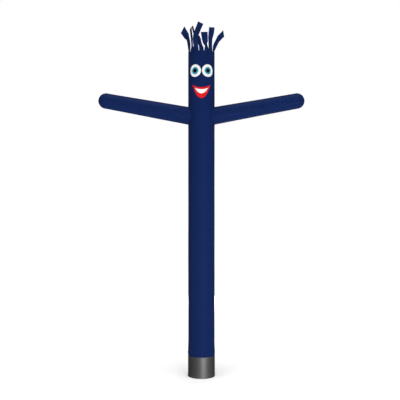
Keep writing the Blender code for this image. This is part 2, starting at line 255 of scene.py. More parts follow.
# One row for each strip. The place counts round the crown from the front. The middle and the
# tip are measured from the middle of the crown's rim. The strip faces the way "low" above its
# root and the way "high" at its tip, where 0 is the front and 90 the right, and it turns over
# about "turn_at" of its length. Slant is how far its end's right corner runs past the left one.
# The camber is the height of its middle over its edges, and the crease is a soft kink across it.
STRIPS = table(
    "place mid_x mid_y mid_z tip_x tip_y tip_z low high turn_at width slant"
    " camber crease_at crease_lean crease",
    (-3, -0.23, -0.05, 0.226, -0.326, 0.0, 0.409, -56, -4, 0.66, 0.114, 0.086, 0.006, 0.62, 0.05, -0.004),
    (-2, -0.163, -0.14, 0.196, -0.188, -0.06, 0.421, -70, -69, 0.5, 0.088, 0.0, 0.004, 0.45, -0.04, 0.003),
    (-1, -0.101, -0.26, 0.217, -0.013, -0.2, 0.479, -12, 2, 0.5, 0.098, -0.015, 0.005, 0.55, 0.06, -0.004),
    (0, -0.048, -0.16, 0.225, -0.09, -0.02, 0.34, 46, 70, 0.5, 0.088, 0.0, 0.004, 0.5, -0.05, 0.003),
    (1, 0.061, -0.29, 0.159, 0.044, -0.5, 0.245, 60, -4, 0.38, 0.112, 0.0, 0.006, 0.68, 0.04, -0.004),
    (2, 0.157, -0.24, 0.188, 0.174, -0.4, 0.347, 56, 0, 0.64, 0.094, 0.0, 0.005, 0.4, -0.05, 0.003),
    (3, 0.284, 0.0, 0.228, 0.388, 0.06, 0.361, 46, 12, 0.6, 0.092, -0.096, 0.005, 0.7, 0.05, -0.004),
    (4, 0.265, 0.11, 0.186, 0.346, 0.26, 0.36, 96, 112, 0.6, 0.092, 0.0, 0.002, 0.55, 0.04, -0.002),
    (5, 0.248, 0.26, 0.199, 0.298, 0.46, 0.335, 110, 108, 0.6, 0.09, 0.01, 0.002, 0.6, -0.04, 0.001),
    (6, 0.158, 0.21, 0.25, 0.168, 0.29, 0.41, 140, 176, 0.7, 0.086, 0.0, 0.002, 0.5, 0.05, -0.002),
    (7, 0.075, 0.26, 0.23, 0.046, 0.36, 0.37, 112, 150, 0.6, 0.096, 0.0, 0.004, 0.45, -0.05, 0.003),
    (8, -0.026, 0.26, 0.23, -0.074, 0.32, 0.368, 126, 150, 0.6, 0.09, 0.0, 0.003, 0.55, 0.04, -0.002),
    (-7, -0.109, 0.19, 0.3, -0.159, 0.1, 0.497, -112, -112, 0.5, 0.086, 0.0, 0.003, 0.5, -0.05, 0.002),
    (-6, -0.118, 0.33, 0.2, -0.102, 0.48, 0.345, -104, -110, 0.5, 0.09, 0.0, 0.003, 0.6, 0.05, -0.002),
    (-5, -0.224, 0.25, 0.215, -0.252, 0.42, 0.366, -106, -112, 0.5, 0.086, -0.01, 0.003, 0.5, 0.04, 0.002),
    (-4, -0.235, 0.1, 0.226, -0.291, 0.22, 0.404, -92, -106, 0.6, 0.09, 0.0, 0.003, 0.45, -0.04, -0.002),
)

# Back seam, a strip of the trunk's doubled edge
BACK_SEAM_WIDTH = 0.014
BACK_SEAM_LIFT = 0.0011
BACK_SEAM_PITCH = 0.012
BACK_SEAM_RIPPLE = 0.00015
BACK_RIPPLE_PITCH = 0.06
BACK_STITCH_LIFT = BACK_SEAM_LIFT * 0.85

# The side of one of the squares that the thicker yarns make
RIPSTOP_SQUARE = 0.006

# Stitches, short beads of thread half sunk in the cloth: along and girth are shares of their size
STITCH_LENGTH = 0.0044
STITCH_PITCH = 0.0060
STITCH_WIDTH = 0.0010
STITCH_RISE = 0.0005
STITCH_RINGS = table(
    "along girth",
    (-0.5, 0.25),
    (-0.3, 1.0),
    (0.3, 1.0),
    (0.5, 0.25),
)
THREAD_COLOURS = {
    "navy": (0.014, 0.032, 0.120),
    "grey": (0.060, 0.060, 0.064),
    "white": (0.62, 0.62, 0.61),
    "blue": (0.028, 0.215, 0.310),
    "black": (0.015, 0.015, 0.018),
    "red": (0.420, 0.009, 0.008),
}

# Heights of the level rows of stitches, and how far those down the back are from its middle
CROWN_ROWS = (CROWN_HEIGHT - 0.005, CROWN_HEIGHT - CROWN_HEM + 0.003)
CUFF_ROWS = (CUFF_HEIGHT - 0.006, CUFF_HEIGHT - 0.024)
HEM_ROWS = (0.030, 0.022)
BACK_ROWS = (-0.0045, 0.0045)
RING_TURNS = np.linspace(-pi, pi, 1441)

# Camera and studio
CAMERA_PLACE = (-0.0246, -11.5, 3.036)
CAMERA_LENS = 59.8
CAMERA_SENSOR = 36.0
FLOOR_SIZE = 120.0
WORLD_LIGHT = 0.20
WORLD_GLOSS = 0.10
SUN_STRENGTH = 3.0
SUN_TILT = radians(6)
SUN_WIDTH = radians(40)

# Softboxes that face the dancer, turn in degrees from its front and away from its axis
SOFTBOXES = table(
    "name turn away height width tall watts",
    ("low_softbox", 17.0, 9.6, 0.7, 5.0, 1.3, 560),
    ("left_softbox", -42.0, 9.6, 4.6, 2.0, 3.0, 85),
    ("right_softbox", 58.0, 9.6, 4.6, 2.0, 3.0, 60),
    ("back_softbox", 168.0, 9.6, 1.6, 3.0, 3.1, 360),
)


def smoothstep(t):
    t = np.clip(t, 0.0, 1.0)
    return t * t * (3 - 2 * t)


def fade(distance, length):
    """1 at a seam and less away from it."""
    return np.exp(-np.abs(distance) / length)


def pucker(around, count, phase):
    """Unevenly spaced soft ridges along a seam, from -1 to 1."""
    wander = 0.8 * np.sin(3 * around + phase) + 0.5 * np.sin(7 * around + 2.1 * phase)
    strength = 0.72 + 0.28 * np.sin(5 * around + 1.3 * phase)
    return np.sin(count * around + wander) * strength


def crease_relief(crease, run, rise):
    """A crease's relief at run and rise from its middle, with a lower opposite fold beside it."""
    lean = radians(crease.lean)
    along = run * np.cos(lean) + rise * np.sin(lean)
    steps = (rise * np.cos(lean) - run * np.sin(lean)) / crease.width
    profile = np.exp(-(steps**2)) - 0.5 * np.exp(-((steps - 1.9) ** 2))
    return crease.depth * (profile * np.exp(-1.3 * (2 * along / crease.length) ** 2))


def wrapped(angle):
    """An angle brought to between -pi and pi."""
    return (angle + pi) % tau - pi


def spaced(start, end, pitch):
    """Values from start to end, both included, at most pitch apart."""
    return np.linspace(start, end, max(1, int(np.ceil(abs(end - start) / pitch))) + 1)


def trunk_creases(turn, height):
    """The relief of the listed creases."""
    relief = np.zeros(np.broadcast(turn, height).shape)
    for crease in TRUNK_CREASES:
        round_it = TRUNK_RADIUS * wrapped(turn - radians(crease.turn))
        relief += crease_relief(crease, round_it, height - crease.height)
    return relief


def shoulder_puckers(turn, height):
    """Puckers round the two seams where the arms are sewn on."""
    relief = np.zeros(np.broadcast(turn, height).shape)
    middle = ARM_HEIGHT + TRUNK_RADIUS * np.tan(ARM_RISE)
    for side in (-1, 1):
        across = TRUNK_RADIUS * wrapped(turn - side * pi / 2) / SHOULDER_HALF_WIDTH
        up = (height - middle) / SHOULDER_HALF_HEIGHT
        away = (np.hypot(across, up) - 1) * SHOULDER_HALF_HEIGHT
        ridges = pucker(np.arctan2(up, across), 21, 0.7 + side)
        near = smoothstep(away / 0.010) * fade(np.maximum(away, 0.0), SHOULDER_PUCKER_REACH)
        relief += ROOT_PUCKER * ridges * near
    return relief


def trunk_relief(turn, height):
    """Puckers and creases of the trunk's cloth."""
    above = height - CUFF_HEIGHT
    at_cuff = smoothstep((above - 0.003) / 0.015) * fade(np.maximum(above, 0.0), CUFF_PUCKER_REACH)
    below = CROWN_HEIGHT - CROWN_HEM - height
    at_crown = smoothstep(below / 0.010) * fade(np.maximum(below, 0.0), CROWN_PUCKER_REACH)
    return (
        CUFF_PUCKER * pucker(turn, 29, 0.4) * at_cuff
        + CROWN_PUCKER * pucker(turn, 25, 1.9) * at_crown
        + shoulder_puckers(turn, height)
        + trunk_creases(turn, height)
    )


def trunk_radius(turn, height):
    """The outer radius of the trunk's cloth."""
    above = height - CUFF_HEIGHT
    swell = np.interp(
        above, [row.above_cuff for row in CUFF_SWELL], [row.swell for row in CUFF_SWELL]
    )
    calm = smoothstep((above - 0.02) / 0.20) * smoothstep((CROWN_HEIGHT - height - 0.03) / 0.20)
    waves = np.sin(2 * turn + 2.3 * height) + 0.8 * np.sin(3 * turn - 3.7 * height + 1.0)
    waves += 0.6 * np.sin(turn + 6.1 * height + 2.0)
    return TRUNK_RADIUS + swell + WAVE_DEPTH / 2 * waves * calm + trunk_relief(turn, height)


def run_along(line):
    """How far along a line each of its points is."""
    steps = np.linalg.norm(np.diff(line, axis=0), axis=-1)
    return np.concatenate([[0.0], np.cumsum(steps)])


def round_trunk(turn, radius, height):
    """Points at those turns, radii and heights."""
    turn, radius, height = np.broadcast_arrays(turn, radius, height)
    return np.stack([radius * np.sin(turn), -radius * np.cos(turn), height], axis=-1)


def grid_faces(rows, columns, closed):
    """Corners of the quads of a grid, and the same with the columns counted on past the join."""
    row, column = np.meshgrid(
        np.arange(rows - 1), np.arange(columns if closed else columns - 1), indexing="ij"
    )
    corners = np.stack([row, row, row + 1, row + 1], axis=-1).reshape(-1, 4)
    steps = np.stack([column, column + 1, column + 1, column], axis=-1).reshape(-1, 4)
    return corners, steps


def add_object(name, data):
    added = bpy.data.objects.new(name, data)
    bpy.context.scene.collection.objects.link(added)
    return added


def add_piece(name, mesh, finish):
    piece = add_object(name, mesh)
    mesh.materials.append(finish)
    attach(piece, "root")
    return piece


def cloth_mesh(name, points, faces, corner_uv, relief):
    """A mesh of cloth, whose UV map holds places on the flat cloth in metres.

    Its relief attribute says how far each point is a ridge, above 0, or a trough; the nylon paints
    highlight on ridges and shade in troughs from it.
    """
    mesh = bpy.data.meshes.new(name)
    mesh.from_pydata(points.reshape(-1, 3).tolist(), [], faces.tolist())
    mesh.uv_layers.new(name="cloth").data.foreach_set("uv", corner_uv.ravel())
    heights = mesh.attributes.new("relief", "FLOAT", "POINT")
    heights.data.foreach_set("value", relief.ravel())
    return mesh


def thicken(piece, thickness):
    """Gives a piece its thickness on its inside."""
    wall = piece.modifiers.new("Cloth", "SOLIDIFY")
    wall.thickness = thickness
    wall.offset = -1.0


def add_sheet(name, points, cloth_uv, relief, finish, thickness, closed=False, tools=()):
    """A piece of cloth from a grid of points, rows by columns, less what the tools cut out."""
    rows, columns = points.shape[:2]
    corner_rows, corner_steps = grid_faces(rows, columns, closed)
    faces = corner_rows * columns + corner_steps % columns
    corner_uv = cloth_uv[corner_rows, corner_steps]
    mesh = cloth_mesh(name, points, faces, corner_uv, np.broadcast_to(relief, (rows, columns)))
    piece = add_piece(name, mesh, finish)
    weld = piece.modifiers.new("Join", "WELD")
    weld.merge_threshold = WELD_REACH
    thicken(piece, thickness)
    for tool in tools:
        cut = piece.modifiers.new("Air hole", "BOOLEAN")
        cut.operation = "DIFFERENCE"
        cut.solver = "EXACT"
        cut.object = tool
    make_final(piece)
    return piece


def make_final(piece):
    """Turns a piece's modifiers into its mesh, shaded smooth but for its cut edges."""
    bpy.context.view_layer.update()
    evaluated = piece.evaluated_get(bpy.context.evaluated_depsgraph_get())
    mesh = bpy.data.meshes.new_from_object(evaluated)
    mesh.shade_smooth()
    mesh.set_sharp_from_angle(angle=SHARP_ANGLE)
    piece.modifiers.clear()
    old = piece.data
    piece.data = mesh
    bpy.data.meshes.remove(old)


def flat_places(across, up):
    """Places on the flat cloth, rows by columns."""
    return np.stack(np.meshgrid(across, up), axis=-1)


def closed_uv(up):
    """Flat places on the trunk's or cuff's cloth, with one column more than the tube has."""
    return flat_places(np.append(TRUNK_TURNS, TRUNK_TURNS[0] + tau) * TRUNK_RADIUS, up)


def air_hole_tool(side):
    """A rod along the arm on that side."""
    bpy.ops.mesh.primitive_cylinder_add(
        vertices=64, radius=ARM_ROOT_RADIUS - AIR_HOLE_MARGIN, depth=AIR_HOLE_LENGTH
    )
    rod = bpy.context.object
    rod.rotation_euler = (0.0, side * (pi / 2 - ARM_RISE), 0.0)
    rod.location = AIR_HOLE_MIDDLE * arm_directions(side)[0] + [0.0, 0.0, ARM_HEIGHT]
    return rod


def add_trunk(finish):
    """The trunk's cloth, with a hem folded in at the crown and air holes into the arms."""
    up = np.concatenate([spaced(*span)[:-1] for span in TRUNK_SPANS])
    fold = np.linspace(0.0, pi, 6)
    down = spaced(CROWN_HEIGHT - CROWN_FOLD, CROWN_HEIGHT - CROWN_HEM, HEM_PITCH)[1:]
    height = np.concatenate([up, CROWN_HEIGHT - CROWN_FOLD + CROWN_FOLD * np.sin(fold), down])
    inset = np.concatenate(
        [np.zeros(len(up)), CROWN_FOLD * (1 - np.cos(fold)), np.full(len(down), 2 * CROWN_FOLD)]
    )
    radius = trunk_radius(TRUNK_TURNS, height[:, None]) - inset[:, None]
    points = round_trunk(TRUNK_TURNS, radius, height[:, None])
    cloth_uv = closed_uv(run_along(np.stack([height, inset], axis=-1)))
    relief = trunk_relief(TRUNK_TURNS, height[:, None])
    tools = [air_hole_tool(side) for side in (-1, 1)]
    trunk = add_sheet(
        "trunk_cloth", points, cloth_uv, relief, finish, TRUNK_CLOTH, True, tools
    )
    for tool in tools:
        bpy.data.objects.remove(tool, do_unlink=True)
    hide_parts("trunk")
    return trunk


def add_back_seam(finish):
    """The lapped edge of the trunk's cloth, down the middle of its back."""
    height = spaced(CUFF_HEIGHT + 0.001, CROWN_HEIGHT - 0.001, BACK_SEAM_PITCH)
    across = BACK_SEAM_WIDTH * np.array([-0.5, -0.48, -0.30, 0.0, 0.30, 0.48, 0.5])
    lift = BACK_SEAM_LIFT * np.array([0.85, 0.95, 0.80, 1.0, 0.80, 0.95, 0.85])
    turn = pi + across / TRUNK_RADIUS
    waves = np.sin(height * tau / BACK_RIPPLE_PITCH + 2 * np.sin(height * 3))
    ripple = BACK_SEAM_RIPPLE * waves
    radius = trunk_radius(turn, height[:, None]) + lift + ripple[:, None]
    points = round_trunk(turn, radius, height[:, None])
    cloth_uv = flat_places(across, height)
    return add_sheet("trunk_back_seam", points, cloth_uv, 0.0, finish, TRUNK_CLOTH)


def cuff_face(turn, height):
    """How far the cuff's cloth stands out from its plain faces."""
    lap = smoothstep((height - CUFF_HEIGHT + CUFF_LAP + 0.004) / 0.010)
    buckles = np.sin(5 * turn + 4 * height) + 0.7 * np.sin(9 * turn - 7 * height + 1.2)
    calm = smoothstep((height - CUFF_HEM_HEIGHT) / 0.06)
    calm = calm * smoothstep((CUFF_HEIGHT - CUFF_LAP - height) / 0.05)
    return CUFF_LAP_SWELL * lap + CUFF_BUCKLE / 2 * buckles * calm


def add_cuff(finish):
    """The stiff sleeve, its hem turned up on the outside of its foot."""
    bend = np.linspace(0.0, pi, 5)[1:-1]
    middle = (CUFF_HEM_FACE + CUFF_FACE) / 2
    small = (CUFF_HEM_FACE - CUFF_FACE) / 2
    foot = CUFF_CLOTH + small
    hem = spaced(CUFF_HEM_HEIGHT, foot, HEM_PITCH)
    wall = spaced(foot, CUFF_HEIGHT, CUFF_PITCH)
    height = np.concatenate([hem, foot - small * np.sin(bend), wall])
    face = np.concatenate(
        [np.full(len(hem), CUFF_HEM_FACE), middle + small * np.cos(bend), np.full(len(wall), CUFF_FACE)]
    )
    relief = cuff_face(TRUNK_TURNS, height[:, None])
    points = round_trunk(TRUNK_TURNS, face[:, None] + relief, height[:, None])
    cloth_uv = closed_uv(run_along(np.stack([height, face], axis=-1)))
    cuff = add_sheet(
        "cuff_cloth", points, cloth_uv, relief, finish, CUFF_CLOTH, closed=True
    )
    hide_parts("cuff")
    return cuff


def arm_radius(along):
    """An arm's plain outer radius at that distance from the trunk's axis."""
    share = (ARM_END_CENTRE - along) / (ARM_END_CENTRE - ARM_ROOT)
    return ARM_END_RADIUS + (ARM_ROOT_RADIUS - ARM_END_RADIUS) * share


def arm_directions(side):
    """Along the arm on that side, and square to it down and back."""
    along = np.array([side * np.cos(ARM_RISE), 0.0, np.sin(ARM_RISE)])
    down = np.array([side * np.sin(ARM_RISE), 0.0, -np.cos(ARM_RISE)])
    return along, down, np.array([0.0, 1.0, 0.0])


def arm_start(side, radial):
    """How far along an arm each of its lines meets the trunk's cloth."""
    along = np.full(len(radial), ARM_ROOT)
    for _ in range(6):
        place = radial * arm_radius(along)[:, None]
        axis = arm_directions(side)[0]
        point = place + along[:, None] * axis
        wanted = trunk_radius(np.arctan2(point[:, 0], -point[:, 1]), point[:, 2] + ARM_HEIGHT)
        reach = np.sqrt(wanted**2 - place[:, 1] ** 2)
        along = (reach - side * place[:, 0]) / np.cos(ARM_RISE)
    return along


def arm_relief(side, face, angle, along, radius, from_root, dome):
    """Puckers and creases of an arm's cloth; the dome is the angle up its round end."""
    to_seam = radius * np.abs(np.sin(2 * angle)) / 2
    turn = face * angle
    root = smoothstep(from_root / 0.012) * fade(from_root, ROOT_PUCKER_REACH)
    relief = ROOT_PUCKER * pucker(turn, 19, 2.0 * side) * root
    run = tau * along / SEAM_PUCKER_PITCH + 1.5 * np.sin(9 * along + side)
    ridges = np.sin(run + 2 * angle) * fade(to_seam, SEAM_PUCKER_REACH)
    relief = relief + SEAM_PUCKER * ridges * (1 - root)
    at_tip = smoothstep((along - ARM_END_CENTRE + 0.05) / 0.12) * np.sqrt(np.cos(dome))
    gathers = np.sin(17 * dome + 3 * np.sin(2 * angle)) * fade(to_seam, TIP_GATHER_REACH)
    relief = relief + TIP_GATHER * gathers * at_tip
    for crease in ARM_CREASES:
        if (crease.side, crease.face) == (side, face):
            round_it = (angle - radians(crease.turn)) * radius
            relief = relief + crease_relief(crease, along - crease.along, round_it)
    return relief


def gore_angles(level):
    """Angles across a gore, from the arm's underside, and how far its edges are turned in."""
    share = np.linspace(0.0, 1.0, GORE_COLUMNS)
    share = share - GORE_CROWDING * np.sin(tau * share) / tau
    plain = GORE_MARGIN + (pi / 2 - 2 * GORE_MARGIN) * share
    edge_angle = np.array([row.angle for row in GORE_EDGE])
    edge_inset = np.array([row.inset for row in GORE_EDGE])
    angle = np.concatenate([edge_angle, plain, pi / 2 - edge_angle[::-1]])
    inset = np.concatenate([edge_inset, np.zeros(len(plain)), edge_inset[::-1]])
    return angle + level * pi / 2, inset


def arm_gore_grid(side, face, level):
    """The points of a quarter of an arm, its flat places, its relief and the ways that it faces.

    Side is -1 or 1, face is -1 in front or 1 behind, and level is 0 below or 1 above.
    """
    angle, inset = gore_angles(level)
    axis, down, back = arm_directions(side)
    radial = np.cos(angle)[:, None] * down + face * np.sin(angle)[:, None] * back
    start = arm_start(side, radial)

    root_away = np.array([row.away for row in GORE_ROOT])
    fine = spaced(root_away[-1] + 0.004, ARM_FINE_LENGTH, ARM_FINE_PITCH)
    rest = spaced(ARM_FINE_LENGTH, ARM_END_CENTRE - ARM_ROOT, ARM_PITCH)[1:]
    away = np.concatenate([root_away, fine, rest])
    share_out = away / away[-1]
    straight = start + share_out[:, None] * (ARM_END_CENTRE - start)
    root_inset = np.zeros(len(away))
    root_inset[: len(GORE_ROOT)] = [row.inset for row in GORE_ROOT]

    dome = np.linspace(0.0, pi / 2, ARM_END_ROWS + 1)[1:]
    dome_rows = np.ones((len(dome), len(angle)))
    round_end = ARM_END_CENTRE + ARM_END_RADIUS * np.sin(dome)[:, None] * dome_rows
    along = np.vstack([straight, round_end])
    radius = np.vstack([arm_radius(straight), ARM_END_RADIUS * np.cos(dome)[:, None] * dome_rows])
    climb = np.concatenate([np.zeros(len(away)), dome])[:, None]
    from_root = np.maximum(along - start, 0.0)
    relief = arm_relief(side, face, angle, along, radius, from_root, climb)

    soft = ARM_WAVE_DEPTH * np.sin(2 * angle + 4 * along + side) * smoothstep(from_root / 0.15)
    sunk = np.maximum(inset, np.append(root_inset, np.zeros(len(dome)))[:, None])
    sunk = sunk * np.minimum(1.0, radius / 0.03)
    outward = relief + soft * np.cos(climb) - sunk
    apart = GORE_SHIFT * (face * back - (2 * level - 1) * down)
    centre = np.array([0.0, 0.0, ARM_HEIGHT]) + apart + along[..., None] * axis
    out_way = np.cos(climb)[..., None] * radial + np.sin(climb)[..., None] * axis
    points = centre + radius[..., None] * radial + outward[..., None] * out_way
    points[-1] = centre[-1, 0]

    run = np.append(away, away[-1] + ARM_END_RADIUS * dome)
    grids = (points, flat_places(angle * ARM_END_RADIUS, run), relief, out_way)
    if side * face < 0:
        grids = tuple(grid[:, ::-1] for grid in grids)
    return grids


def gore_seams(points, facing):
    """Rows of stitches inside a gore's long edges, almost to its tip, and along its root."""
    edge = len(GORE_EDGE)
    root = len(GORE_ROOT)
    lines = [np.s_[root:-SEAM_END_ROWS, column] for column in (edge, -1 - edge)]
    lines.append(np.s_[root, edge:-edge])
    return [(points[line], facing[line]) for line in lines]


def add_gore(node, side, face, level, finish, thread_finish):
    """A quarter of an arm and its stitches."""
    points, cloth_uv, relief, facing = arm_gore_grid(side, face, level)
    gore = add_sheet(f"{node}_cloth", points, cloth_uv, relief, finish, ARM_CLOTH)
    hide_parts(node)
    seams = gore_seams(points, facing)
    stitches = add_stitches(f"{node}_stitches", seams, thread_finish)


def add_arms(finish, thread_finish):
    for word, side in SIDES:
        for half, face in (("front", -1), ("back", 1)):
            for height, level in (("lower", 0), ("upper", 1)):
                node = f"arm_{word}_{half}_{height}"
                add_gore(node, side, face, level, finish, thread_finish)


def patch_points(across, height, layer, press):
    """Points of a patch on the trunk's cloth, in that layer and pressed down that far."""
    turn = across / TRUNK_RADIUS
    lift = (layer + 1) * (GAP + PATCH_CLOTH)
    return round_trunk(turn, trunk_radius(turn, height) + lift - press, height)


def edge_press(to_edge, around):
    """How far a patch is pulled down by the stitches along its edge."""
    uneven = 0.75 + 0.25 * np.sin(around)
    from_seam = (to_edge - PATCH_SEAM_INSIDE) / PATCH_PRESS_WIDTH
    return PATCH_PRESS * uneven * np.exp(-(from_seam**2))


def add_patch(node, colour, finishes, points, cloth_uv, press, closed=False):
    """A sewn-on patch in place of its solid, pressed down by its stitches."""
    finish = finishes[colour]
    # The press, as relief, gives the patch painted shade along its stitched edge
    patch = add_sheet(
        f"{node}_cloth", points, cloth_uv, -press, finish, PATCH_SHEET, closed=closed
    )
    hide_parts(node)


def add_disc(disc, word, side, finishes):
    """A round patch of the left or the right eye, side -1 or 1."""
    rings = disc.radius * np.sqrt(1 - np.linspace(0.0, 1.0, DISC_ROWS) ** 1.6)
    angle = tau * np.arange(DISC_COLUMNS) / DISC_COLUMNS
    ring, spoke = np.meshgrid(rings, angle, indexing="ij")
    x = ring * np.cos(spoke)
    z = ring * np.sin(spoke)
    press = edge_press(disc.radius - ring, 31 * spoke)
    points = patch_points(side * EYE_ACROSS + x, EYE_HEIGHT + z, disc.layer, press)
    cloth_uv = np.stack([x, z], axis=-1)
    cloth_uv = np.concatenate([cloth_uv, cloth_uv[:, :1]], axis=1)
    node = f"{disc.node}_{word}"
    add_patch(node, disc.colour, finishes, points, cloth_uv, press, closed=True)


def smile_curves(smile, steps):
    """Heights of a crescent's foot and top at steps from -1 to 1 across it."""
    bend = 1 - steps**2
    return smile.height - smile.sag_foot * bend, smile.height - smile.sag_top * bend


def add_smile(smile, finishes):
    """A crescent patch."""
    steps = np.sin(np.linspace(-pi / 2, pi / 2, SMILE_COLUMNS))
    foot, top = smile_curves(smile, steps)
    share = np.linspace(0.0, 1.0, SMILE_ROWS)[:, None]
    share = (1 - np.cos(pi * share)) / 2
    across = np.broadcast_to(steps * smile.half_width, (SMILE_ROWS, SMILE_COLUMNS))
    height = foot + (top - foot) * share
    to_edge = np.minimum(height - foot, top - height)
    press = edge_press(to_edge, 60 * steps + 5 * share)
    points = patch_points(across, height, smile.layer, press)
    cloth_uv = np.stack([across, height], axis=-1)
    add_patch(smile.node, smile.colour, finishes, points, cloth_uv, press)


def add_face(finishes):
    """The eyes and the smile, each patch for the solid that it stands for."""
    for word, side in SIDES:
        for disc in EYE_DISCS:
            add_disc(disc, word, side, finishes)
    for smile in (LIPS, TEETH):
        add_smile(smile, finishes)


def hermite(start, end, start_way, end_way, t):
    """Points at t on a cubic with those ends and tangents, and its directions there."""
    t = t[:, None]
    place = (
        start * (2 * t**3 - 3 * t**2 + 1)
        + start_way * (t**3 - 2 * t**2 + t)
        + end * (3 * t**2 - 2 * t**3)
        + end_way * (t**3 - t**2)
    )
    way = (
        (start - end) * (6 * t**2 - 6 * t)
        + start_way * (3 * t**2 - 4 * t + 1)
        + end_way * (3 * t**2 - 2 * t)
    )
    return place, unit(way)


def unit(vectors):
    return vectors / np.linalg.norm(vectors, axis=-1, keepdims=True)


def strip_route(strip, t):
    """The middle of a strip at t of its length, and its direction."""
    turn = tau * strip.place / STRIP_COUNT
    root = np.array([FRINGE_RADIUS * np.sin(turn), -FRINGE_RADIUS * np.cos(turn), HEADING_SHOWS])
    mid = np.array([strip.mid_x, strip.mid_y, strip.mid_z])
    tip = np.array([strip.tip_x, strip.tip_y, strip.tip_z])
    through = (tip - root) / 2
    lower = hermite(root, mid, np.array([0.0, 0.0, ROOT_LIFT]), through, 2 * t)
    upper = hermite(mid, tip, through, tip - mid, 2 * t - 1)
    is_lower = (t <= 0.5)[:, None]
    return np.where(is_lower, lower[0], upper[0]), np.where(is_lower, lower[1], upper[1])


def strip_bearing(strip, t):
    """The way that a strip faces at t of its length."""
    root = 360.0 * strip.place / STRIP_COUNT
    low = root + (strip.low - root) * smoothstep(t / LOW_TURN_ENDS)
    turned = smoothstep((t - strip.turn_at) / TURN_LENGTH + 0.5)
    return np.radians(low + (strip.high - low) * turned)


def strip_points(strip):
    """A strip's points over its heading, rows by columns, and their relief."""
    t = np.linspace(0.0, 1.0, STRIP_ROWS + 1)[1:]
    s = np.linspace(-1.0, 1.0, STRIP_COLUMNS)
    place, way = strip_route(strip, t)
    bearing = strip_bearing(strip, t)
    across = np.stack([np.cos(bearing), np.sin(bearing), np.zeros(len(t))], axis=-1)
    across = unit(across - way * np.sum(way * across, axis=-1, keepdims=True))
    normal = np.cross(across, way)
    width = STRIP_ROOT_WIDTH + (strip.width - STRIP_ROOT_WIDTH) * smoothstep(t)
    half = across * width[:, None] / 2
    half = half + way * (strip.slant / 2 * smoothstep(2 * t - 1))[:, None]
    camber = strip.camber * np.sin(pi * t**0.8)[:, None] * (1 - s**2)
    kink_at = strip.crease_at + strip.crease_lean * s
    kink = strip.crease * np.exp(-(((t[:, None] - kink_at) / 0.06) ** 2))
    relief = camber + kink
    points = place[:, None] + s[:, None] * half[:, None] + relief[..., None] * normal[:, None]
    return points, kink


def heading_points(strip):
    """A strip's part of the heading, rows by columns."""
    turn = tau * strip.place / STRIP_COUNT
    half = STRIP_ROOT_WIDTH / 2 / FRINGE_RADIUS
    angle = turn + half * np.linspace(-1.0, 1.0, STRIP_COLUMNS)
    height = np.linspace(-HEADING_HEIGHT, HEADING_SHOWS, HEADING_ROWS)[:, None]
    return round_trunk(angle, FRINGE_RADIUS, height)


def add_hair(finish):
    """The heading and its strips as one sheet, slit between the strips."""
    points, faces, uv, relief = [], [], [], []
    rows = HEADING_ROWS + STRIP_ROWS
    size = rows * STRIP_COLUMNS
    strips = sorted(STRIPS, key=lambda row: row.place % STRIP_COUNT)
    for number, strip in enumerate(strips):
        upper, kink = strip_points(strip)
        grid = np.concatenate([heading_points(strip), upper]) + [0.0, 0.0, CROWN_HEIGHT]
        run = run_along(grid[:, STRIP_COLUMNS // 2])
        across = (number + np.linspace(0.05, 0.95, STRIP_COLUMNS)) * tau * FRINGE_RADIUS / STRIP_COUNT
        points.append(grid.reshape(-1, 3))
        uv.append(flat_places(across, run).reshape(-1, 2))
        # The kinks, as relief, give the strips painted shade and painted highlight across them
        relief.append(np.vstack([np.zeros((HEADING_ROWS, STRIP_COLUMNS)), kink]).ravel())
        corner_rows, corner_steps = grid_faces(rows, STRIP_COLUMNS, False)
        faces.append(number * size + corner_rows * STRIP_COLUMNS + corner_steps)
        ends = number * size + STRIP_COLUMNS - 1 + STRIP_COLUMNS * np.arange(HEADING_ROWS)
        starts = (number + 1) % STRIP_COUNT * size + STRIP_COLUMNS * np.arange(HEADING_ROWS)
        faces.append(np.stack([ends[:-1], starts[:-1], starts[1:], ends[1:]], axis=-1))
    points, faces, uv, relief = map(np.concatenate, (points, faces, uv, relief))
    mesh = cloth_mesh("hair_strips", points, faces, uv[faces], relief)
    hair = add_piece("hair_strips", mesh, finish)
    thicken(hair, FRINGE_CLOTH)
    make_final(hair)
    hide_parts("hair_fringe")


def at_runs(values, run, at):
    """Points or directions on a line, at those distances along it."""
    return np.stack([np.interp(at, run, values[:, i]) for i in range(3)], axis=-1)


def add_stitches(name, seams, finish):
    """Stitches along seams, each a line of points on the cloth with the ways that it faces."""
    places, alongs, ups = [], [], []
    for line, facing in seams:
        run = run_along(line)
        at = np.arange(STITCH_PITCH / 2, run[-1], STITCH_PITCH)
        places.append(at_runs(line, run, at))
        alongs.append(unit(at_runs(line, run, at + 0.001) - at_runs(line, run, at - 0.001)))
        ups.append(unit(at_runs(facing, run, at)))
    place, along, up = np.concatenate(places), np.concatenate(alongs), np.concatenate(ups)
    beside = unit(np.cross(along, up))
    corners = []
    for ring in STITCH_RINGS:
        centre = place + along * ring.along * STITCH_LENGTH
        for sideways, rise in ((1, 0), (0, 1), (-1, 0), (0, -1)):
            corners.append(
                centre
                + beside * sideways * ring.girth * STITCH_WIDTH / 2
                + up * rise * ring.girth * STITCH_RISE
            )
    points = np.stack(corners, axis=1)
    corner_rows, corner_steps = grid_faces(len(STITCH_RINGS), 4, True)
    last = 4 * (len(STITCH_RINGS) - 1)
    ends = [(3, 2, 1, 0), (last, last + 1, last + 2, last + 3)]
    quads = np.concatenate([4 * corner_rows + corner_steps % 4, ends])
    starts = points.shape[1] * np.arange(len(points))
    faces = (quads + starts[:, None, None]).reshape(-1, 4)
    mesh = bpy.data.meshes.new(name)
    mesh.from_pydata(points.reshape(-1, 3).tolist(), [], faces.tolist())
    mesh.shade_smooth()
    return add_piece(name, mesh, finish)


def ring_seam(radius, height):
    """A level row of stitches, with its radius at RING_TURNS or one radius all round."""
    return round_trunk(RING_TURNS, radius, height), round_trunk(RING_TURNS, 1.0, 0.0)


